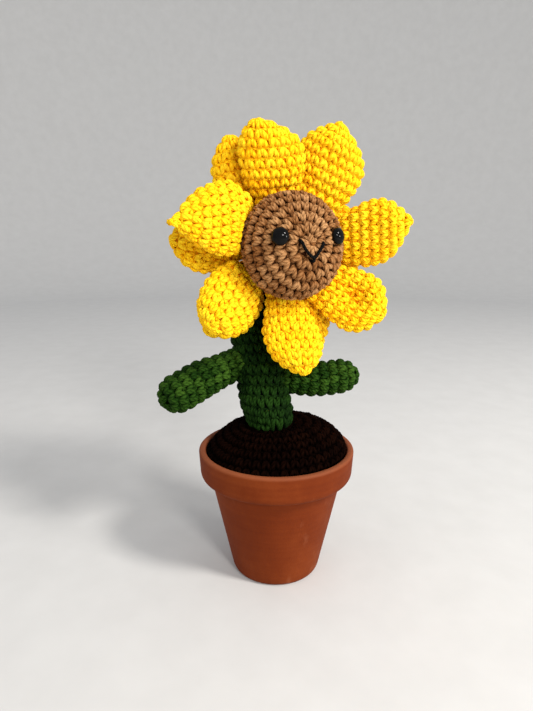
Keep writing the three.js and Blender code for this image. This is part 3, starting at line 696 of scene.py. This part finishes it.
def plastic_material(name, colour, roughness, shine=0.5):
    """Moulded plastic with faint polishing marks."""
    sh = Shader(name)
    place = sh.node("ShaderNodeTexCoord").outputs["Object"]
    marks = sh.noise(place, 600, 3.0, 0.6)
    tint = sh.ramp(marks, (0.3, colour), (0.8, tuple(min(1, c * 1.25 + 0.002) for c in colour)))
    return sh.finish(
        Base_Color=tint,
        Roughness=sh.math("MULTIPLY_ADD", marks, 0.06, roughness),
        Normal=sh.bump(marks, 0.00002, 0.25),
        Specular_IOR_Level=shine,
    )


def filling_material():
    """Loose white polyester fibre."""
    sh = Shader("fibre_filling")
    place = sh.node("ShaderNodeTexCoord").outputs["Object"]
    tufts = sh.noise(place, 160, 5.0, 0.7)
    colour = sh.ramp(tufts, (0.3, srgb(214, 210, 202)), (0.7, srgb(244, 242, 237)))
    return sh.finish(
        Base_Color=colour,
        Roughness=0.95,
        Normal=sh.bump(tufts, 0.002, 0.8),
        Sheen_Weight=0.3,
    )


# Each yarn's colours are its deepest painted shade, its shaded colour and its lit colour.
MATERIALS = {
    "clay": clay_material(),
    "soil_yarn": yarn_material(
        "soil_yarn", srgb(1, 0, 0), srgb(7, 2, 1), srgb(21, 7, 3), sheen=0.004, shine=0.01
    ),
    "stem_yarn": yarn_material(
        "stem_yarn", srgb(1, 10, 1), srgb(9, 30, 3), srgb(28, 56, 11), sheen=0.02, shine=0.06
    ),
    "leaf_yarn": yarn_material(
        "leaf_yarn", srgb(4, 22, 1), srgb(20, 47, 5), srgb(54, 84, 23), sheen=0.03, shine=0.06
    ),
    "head_yarn": yarn_material(
        "head_yarn", srgb(72, 34, 8), srgb(122, 76, 36), srgb(180, 134, 88), sheen=0.1
    ),
    "petal_yarn": yarn_material(
        "petal_yarn", srgb(255, 166, 0), srgb(255, 194, 4), srgb(255, 212, 30), sheen=0.2
    ),
    "filling": filling_material(),
    "eye_plastic": plastic_material("eye_plastic", (0.002, 0.002, 0.002), 0.05, 0.1),
    "washer_plastic": plastic_material("washer_plastic", srgb(230, 230, 224), 0.45),
    "mouth_thread": yarn_material(
        "mouth_thread", srgb(3, 3, 3), srgb(10, 10, 10), srgb(26, 26, 26), sheen=0.04, shine=0.06
    ),
}


def piece(name, mesh, slot, stands_for):
    """Puts a mesh in the scene as a piece of the object, in place of CAD nodes."""
    made = bpy.data.objects.new(name, mesh)
    bpy.context.scene.collection.objects.link(made)
    mesh.materials.append(MATERIALS[slot])
    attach(made, "root")
    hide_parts(*stands_for)


# ------------------------------------------------------------------ clay pot


def pot_wall(z):
    return POT_WALL_BASE + POT_WALL_SLOPE * z


def rounded(profile, radii, steps=6):
    """A profile whose corners are rounded by arcs that take up the given lengths of its sides."""
    points = [np.array(p, float) for p in profile]
    out = []
    for k, point in enumerate(points):
        size = radii[k]
        if size == 0:
            out.append(point)
            continue
        before = point + unit(points[k - 1] - point) * size
        after = point + unit(points[(k + 1) % len(points)] - point) * size
        for t in np.linspace(0, 1, steps):
            out.append((1 - t) ** 2 * before + 2 * t * (1 - t) * point + t * t * after)
    return np.array(out)


def lathe_mesh(profile, segments, closed=True, wobble=0.0):
    """The points and faces of a profile of (radius, height) points turned round Z. A closed one
    is a ring in section, and wobble is how far it is out of round."""
    turn = np.arange(segments) / segments * 2 * math.pi
    radius = profile[:, :1] * (1 + wobble * np.sin(2 * turn + 0.6))
    height = profile[:, 1:] + 0 * radius
    grid = np.stack([radius * np.cos(turn), radius * np.sin(turn), height], axis=-1)
    index = np.arange(radius.size).reshape(radius.shape)
    up = np.roll(index, -1, axis=0)
    if not closed:
        index, up = index[:-1], up[:-1]
    nxt, up_next = np.roll(index, -1, axis=1), np.roll(up, -1, axis=1)
    quads = np.stack([index, nxt, up_next, up], axis=-1).reshape(-1, 4)
    return grid.reshape(-1, 3), [quads]


def densified(profile, step=1.6):
    """The closed profile with points added along its long sides."""
    out = []
    for k, start in enumerate(profile):
        end = profile[(k + 1) % len(profile)]
        parts = max(1, int(np.linalg.norm(end - start) / step))
        out += [lerp(start, end, i / parts) for i in range(parts)]
    return np.array(out)


def make_pot():
    band = POT_HEIGHT - POT_BAND
    inner_lip = POT_RIM - POT_LIP
    # Each corner's radius, its height, and how far its rounding reaches along its sides.
    corners = [
        (POT_DRAIN, 0.0, 0.8),
        (POT_FOOT + 1.3, 0.0, 1.6),
        (pot_wall(2.2), 2.2, 0.9),
        (pot_wall(band), band, 1.3),
        (POT_RIM - POT_BAND_TAPER, band + 0.1, 3.2),
        (POT_RIM, POT_HEIGHT, 1.5),
        (inner_lip, POT_HEIGHT, 1.3),
        (POT_LEDGE, band + 1.2, 1.0),
        (pot_wall(band - 1.4) - POT_WALL, band - 1.4, 1.0),
        (pot_wall(POT_FLOOR) - POT_WALL, POT_FLOOR, 2.0),
        (POT_DRAIN, POT_FLOOR, 0.8),
    ]
    profile = rounded([c[:2] for c in corners], [c[2] for c in corners])
    points, faces = lathe_mesh(densified(profile), 144, wobble=POT_WOBBLE)
    piece("clay_pot", build_mesh("clay_pot", points, faces), "clay", ["pot"])


# ------------------------------------------------------------------ soil


def soil_height(x, y):
    r = np.hypot(x, y)
    dome = POT_HEIGHT + SOIL_DOME * (1 - (r / SOIL_DOME_RADIUS) ** SOIL_FULLNESS) + SOIL_TILT * x
    from_stem = np.hypot(x - STEM_SEAT[0], y - STEM_SEAT[1])
    free = smoothstep(from_stem, STEM_RADIUS + 0.6, STEM_RADIUS + 5)
    return lerp(STEM_SEAT[2] - GAP, dome, free)


def soil_place(turn, d):
    """The dome out to its edge, then its side down inside the rim."""
    radius = np.minimum(d, SOIL_EDGE)
    shift = 1 - radius / SOIL_EDGE
    angle = turn * 2 * math.pi
    x = STEM_SEAT[0] * shift + radius * np.cos(angle)
    y = STEM_SEAT[1] * shift + radius * np.sin(angle)
    return np.stack([x, y, soil_height(x, y) - np.maximum(d - SOIL_EDGE, 0)], axis=-1)


def make_soil():
    form = Form(soil_place, SOIL_EDGE + SOIL_SIDE)
    piece("soil_cushion", crochet(form, 11).mesh("soil_cushion"), "soil_yarn", ["soil_cover"])


# ------------------------------------------------------------------ stem and leaves

STEM_CURVE = Curve(STEM_ROUTE)
SIDEWAYS = np.array([1.0, 0, 0])
UP = np.array([0, 0, 1.0])


def stem_place(turn, d):
    """Level rings on the soil that turn square to the route, pressed flat behind the head."""
    t = d / STEM_CURVE.length
    centre, along = STEM_CURVE.at(t)
    level = (1 - smoothstep(t, 0, 0.5))[..., None]
    facing = unit(lerp(along, UP, level))
    across = unit(SIDEWAYS - facing * (facing @ SIDEWAYS)[..., None])
    over = np.cross(facing, across)
    swell, squeeze = smoothstep(t, 0, 0.1), smoothstep(t, 0.56, 1)
    full = lerp(STEM_BASE_RADIUS, STEM_RADIUS, swell)
    half_across = lerp(full, STEM_TOP_HALF_WIDTH, squeeze**2)
    half_over = lerp(full, STEM_TOP_HALF_DEPTH, squeeze) / (facing * along).sum(-1)
    return ellipse(turn, centre, across, over, half_across, half_over)


def make_stem():
    form = Form(stem_place, STEM_CURVE.length)
    yarn = crochet(form, 12, first=STEM_ROUND, relief=0.85, core=2.1, plump=1.04)
    piece("stem", yarn.mesh("stem"), "stem_yarn", ["stem_cover"])


def make_leaf(name, seed, root, tip, bow, thick):
    start, end = np.array(root, float), np.array(tip, float)
    middle = lerp(start, end, 0.45) + np.array([0, 0, bow])
    curve = Curve([end, middle, start])
    across = unit(np.cross(end - start, UP))

    def place(turn, d):
        centre, along = curve.at(d / curve.length)
        wide = unit(across - along * (along @ across)[..., None])
        over = np.cross(wide, along)
        blunt = np.sqrt(np.clip(1 - (1 - np.minimum(d / LEAF_TIP, 1)) ** 2, 1e-4, 1))
        size = blunt * lerp(1, LEAF_NECK, smoothstep(d, 22, 42))
        return ellipse(turn, centre, wide, over, LEAF_HALF_WIDTH * size, thick * size)

    form = Form(place, curve.length)
    yarn = crochet(form, seed, relief=0.82, core=2.0, plump=1.04)
    piece(name + "_yarn", yarn.mesh(name), "leaf_yarn", [name])


# ------------------------------------------------------------------ head


def head_place(turn, d):
    z = HEAD_DEPTH - d
    radius = HEAD_RADIUS * np.sqrt(np.clip(1 - (z / HEAD_DEPTH) ** 2, 0, 1))
    angle = turn * 2 * math.pi
    return np.stack([radius * np.cos(angle), radius * np.sin(angle), z], axis=-1)


def on_face(spot, raised=0.0):
    """A point of the face and the way it looks, across and up, raised off the fabric."""
    x, y = spot
    z = HEAD_DEPTH * math.sqrt(1 - (x * x + y * y) / HEAD_RADIUS**2)
    normal = unit(np.array([x / HEAD_RADIUS**2, y / HEAD_RADIUS**2, z / HEAD_DEPTH**2]))
    return np.array([x, y, z]) + normal * raised, normal


def make_head():
    form = Form(head_place, 2 * HEAD_DEPTH)
    yarn = crochet(form, 13, round_height=HEAD_ROUND, slant=0.3, drop=0.4, core=2.4, plump=1.04)
    piece("head", yarn.mesh("head", FLOWER), "head_yarn", ["head_cover"])


def make_eye(side, spot):
    """A glossy black dome on a shank, pressed a little into the fabric."""
    centre, normal = on_face(spot, -EYE_SUNK)
    angle = np.linspace(0, math.pi / 2, 14)[:-1]
    dome = [(EYE_RADIUS * math.cos(a), EYE_SIDE + (EYE_HEIGHT - 0.4) * math.sin(a)) for a in angle]
    shank = [(0.001, -EYE_SHANK_LENGTH), (EYE_SHANK, -EYE_SHANK_LENGTH), (EYE_SHANK, 0)]
    edge = [(EYE_RADIUS - 0.5, 0), (EYE_RADIUS - 0.1, 0.2)]
    profile = np.array([*shank, *edge, *dome, (0.001, EYE_HEIGHT + 0.3)], float)
    points, faces = lathe_mesh(profile, 48, closed=False)
    turned = Vector((0, 0, 1)).rotation_difference(Vector(normal)).to_matrix().to_4x4()
    matrix = FLOWER @ Matrix.Translation(centre) @ turned
    name = "eye_" + side
    mesh = build_mesh(name + "_dome", moved(matrix, points), faces)
    piece(name + "_dome", mesh, "eye_plastic", [name])


def make_mouth():
    """Black thread in a V with a short tail; its ends go down between the stitches."""
    yarn = Yarn()
    for name, stops in MOUTH.items():
        curve = Curve([(*on_face(s)[0],) for s in stops], 60)
        share = np.linspace(0, 1, 22)
        middle = curve.at(share)[0]
        ends = np.minimum(smoothstep(share, 0, 0.1), smoothstep(1 - share, 0, 0.1))
        up = unit(middle / np.array([HEAD_RADIUS**2, HEAD_RADIUS**2, HEAD_DEPTH**2]))
        lift = lerp(MOUTH_END, MOUTH_LIFT, ends) + 0.12 * np.sin(share * 17)
        path = middle + up * lift[:, None]
        radii = np.full((1, len(share)), MOUTH_RADIUS)
        yarn.strands(path[None], up[None], radii, 12, np.full(radii.shape, 0.6))
    piece("mouth", yarn.mesh("mouth", FLOWER), "mouth_thread", ["mouth_thread"])


# ------------------------------------------------------------------ petals


class Petal:
    """A petal's pose in the flower's frame, its form, and the planes it is pressed against."""

    def __init__(self, setting):
        self.set = setting
        angle, swing = math.radians(setting["angle"]), math.radians(setting["swing"])
        start = (setting["start"] * math.cos(angle), setting["start"] * math.sin(angle))
        self.pose = np.array(
            Matrix.Translation((*start, -setting["back"]))
            @ Matrix.Rotation(angle + swing, 4, "Z")
            @ Matrix.Rotation(-math.radians(setting["lean"]), 4, "Y")
            @ Matrix.Rotation(math.radians(setting["roll"]), 4, "X")
        )
        self.belly = moved(self.pose, np.array([setting["length"] * 0.55, 0, 0]))
        self.planes = []

    def press_against(self, other):
        """Shares a flat contact with a neighbour, half way between them."""
        apart = other.belly - self.belly
        reach = (self.set["length"] / 2, self.set["width"], PETAL_HALF_THICKNESS)
        axes = self.pose[:3, :3].T
        normal = unit(sum(axis * (axis @ apart) / r**2 for axis, r in zip(axes, reach)))
        between = (self.belly + other.belly) / 2
        self.planes.append((between, normal))
        other.planes.append((between, -normal))

    def place(self, turn, d):
        p = self.set
        length, cup = p["length"], math.radians(p["cup"])
        bend = cup * (0.5 - d / length)
        radius = length / cup
        zero = 0 * bend
        outward = radius * (np.sin(bend) + math.sin(cup / 2))
        centre = np.stack([outward, zero, radius * (math.cos(cup / 2) - np.cos(bend))], axis=-1)
        over = np.stack([-np.sin(bend), zero, np.cos(bend)], axis=-1)
        across = np.broadcast_to([0.0, 1.0, 0.0], over.shape)
        widening = np.clip(1 - (1 - np.minimum(d / p["shoulder"], 1)) ** 2, 1e-5, 1) ** p["tip"]
        narrowing = smoothstep(d, p["shoulder"] + 3, length + 2)
        thickness = lerp(PETAL_HALF_THICKNESS, p["root"], smoothstep(d, p["shoulder"] + 4, length))
        half_across = p["width"] * widening * lerp(1, p["neck"], narrowing)
        half_over = thickness * np.minimum(1, widening * 1.35)
        points = ellipse(turn, centre, across, over, half_across, half_over)
        offset = points - centre
        if p["dent"]:
            front = np.maximum((offset * over).sum(-1), 0) / np.maximum(half_over, 0.1)
            aside, along = offset[..., 1] / DENT_WIDTH, (d / length - DENT_PLACE) / DENT_LENGTH
            depth = p["dent"] * front * np.exp(-(aside**2 + along**2))
            points = points - over * depth[..., None]
        hooked = np.clip(points[..., 0] / length - HOOK_START, 0, 1) / (1 - HOOK_START)
        points[..., 1] += p["hook"] * hooked**2
        return self.pressed(moved(self.pose, points), moved(self.pose, centre))

    def pressed(self, points, centre):
        """The points drawn in towards the petal's middle line to stay behind the contact planes,
        and pushed out to stay off the ball of the head."""
        for origin, normal in self.planes:
            middle = (centre - origin) @ normal
            aside = (kept_below(middle, -PRESSED_HALF, 1.0) - middle)[..., None] * normal
            points, centre = points + aside, centre + aside
            room = -GAP / 2 - (centre - origin) @ normal
            out = np.maximum(((points - centre) @ normal) / room, 0)
            points = centre + (points - centre) / ((1 + out**6) ** (1 / 6))[..., None]
        size = np.array([HEAD_RADIUS, HEAD_RADIUS, HEAD_DEPTH])
        reach = np.maximum(np.linalg.norm(points / size, axis=-1), 1e-6)
        return points * (-kept_below(-reach, -HEAD_ROOM, HEAD_ROOM_BEND) / reach)[..., None]


def make_petals():
    petals = {f"f{k + 1}": Petal(PLAIN_PETAL | p) for k, p in enumerate(FRONT_PETALS)}
    petals |= {f"b{k + 1}": Petal(PLAIN_BACK_PETAL | p) for k, p in enumerate(BACK_PETALS)}
    for pair in CONTACTS.split(", "):
        one, other = pair.split()
        petals[one].press_against(petals[other])
    for seed, (key, petal) in enumerate(petals.items()):
        node = f"petal_{'front' if key[0] == 'f' else 'back'}_{key[1]}"
        form = Form(petal.place, petal.set["length"])
        yarn = crochet(form, 20 + seed, relief=0.78, drop=-0.15, core=1.7, plump=1.06)
        piece(node + "_yarn", yarn.mesh(node, FLOWER), "petal_yarn", [node])


# ------------------------------------------------------------------ studio

CAMERA_PLACE = np.array([-5, -260, 174])
CAMERA_PITCH = 12.85  # degrees that it looks down
CAMERA_LENS = 27.04  # on a 36 mm sensor

BACKDROP_RADIUS = 1300  # of the flat floor, in mm like the next two
BACKDROP_BEND = 600  # radius of the curve from the floor to the wall
BACKDROP_WALL = 2000  # height of the wall over the curve

# Each light's place and square size in metres, its watts and its colour.
AIM = (0.0, 0.0, 0.13)
LIGHTS = {
    "window_high": ((0.7, -0.5, 0.85), 0.2, 10, (1.0, 0.97, 0.92)),
    "window_side": ((0.95, -0.45, 0.3), 0.2, 4, (1.0, 0.98, 0.95)),
    "window_front": ((0.45, -1.0, 0.6), 0.2, 6.5, (1.0, 0.98, 0.95)),
    "bounce_left": ((-1.1, -0.45, 0.2), 0.6, 3, (1.0, 0.99, 0.97)),
}


def make_camera():
    """At the photograph's viewing angle: close in front, a little above the face, looking down."""
    camera = bpy.data.objects.new("camera", bpy.data.cameras.new("camera"))
    camera.data.sensor_width = 36
    camera.data.lens = CAMERA_LENS
    camera.data.clip_start = 0.01
    camera.location = Vector((POT_AXIS + CAMERA_PLACE) * MM)
    camera.rotation_euler = (math.radians(90 - CAMERA_PITCH), 0, 0)
    bpy.context.scene.collection.objects.link(camera)
    bpy.context.scene.camera = camera


def make_backdrop():
    """A pale round floor, and a wall that curves up from it far away, all the way round."""
    sh = Shader("floor_paint")
    grain = sh.noise(sh.node("ShaderNodeTexCoord").outputs["Object"], 40, 3.0)
    colour = sh.ramp(grain, (0.3, (0.6, 0.59, 0.575)), (0.7, (0.63, 0.62, 0.605)))
    paint = sh.finish(Base_Color=colour, Roughness=0.9)
    angle = np.linspace(0, math.pi / 2, 17)
    out, up = BACKDROP_BEND * np.sin(angle), BACKDROP_BEND * (1 - np.cos(angle))
    bend = np.stack([BACKDROP_RADIUS + out, up], axis=-1)
    wall = np.vstack([bend, bend[-1] + np.array([0, BACKDROP_WALL])])
    floor = np.array([(0.01, 0), (BACKDROP_RADIUS / 2, 0), (BACKDROP_RADIUS, 0)])
    for name, profile in (("floor", floor), ("wall", wall)):
        points, faces = lathe_mesh(profile, 96, closed=False)
        mesh = build_mesh(name, points, faces)
        mesh.materials.append(paint)
        made = bpy.data.objects.new(name, mesh)
        bpy.context.scene.collection.objects.link(made)
        made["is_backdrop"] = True
    made.visible_diffuse = made.visible_glossy = made.visible_shadow = False


def make_light():
    """Even light from all round, three windows on the right and what a wall on the left returns."""
    world = bpy.data.worlds.new("studio")
    world.use_nodes = True
    background = world.node_tree.nodes["Background"]
    background.inputs["Color"].default_value = (0.95, 0.97, 1.0, 1)
    background.inputs["Strength"].default_value = 0.6
    bpy.context.scene.world = world
    for name, (place, size, watts, colour) in LIGHTS.items():
        light = bpy.data.lights.new(name, "AREA")
        light.shape = "SQUARE"
        light.size = size
        light.energy = watts
        light.color = colour
        made = bpy.data.objects.new(name, light)
        made.location = place
        made.rotation_euler = (Vector(AIM) - Vector(place)).to_track_quat("-Z", "Y").to_euler()
        made.visible_camera = False
        made.visible_glossy = name != "bounce_left"
        bpy.context.scene.collection.objects.link(made)
    bpy.context.scene.view_settings.view_transform = "Standard"


# ------------------------------------------------------------------ assembly

make_camera()
make_backdrop()
make_light()
make_pot()
make_soil()
make_stem()
for number, (leaf, sizes) in enumerate(LEAVES.items()):
    make_leaf(leaf, 40 + number, **sizes)
make_head()
for eye, place_on_face in EYES.items():
    make_eye(eye, place_on_face)
make_mouth()
make_petals()
for node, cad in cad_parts.items():
    if cad.hide_render:
        continue
    kind = "filling" if node.endswith("filling") else "washer_plastic"
    cad.data.materials.clear()
    cad.data.materials.append(MATERIALS[kind])

sizes = {"cad": cad_box, "visual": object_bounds()}
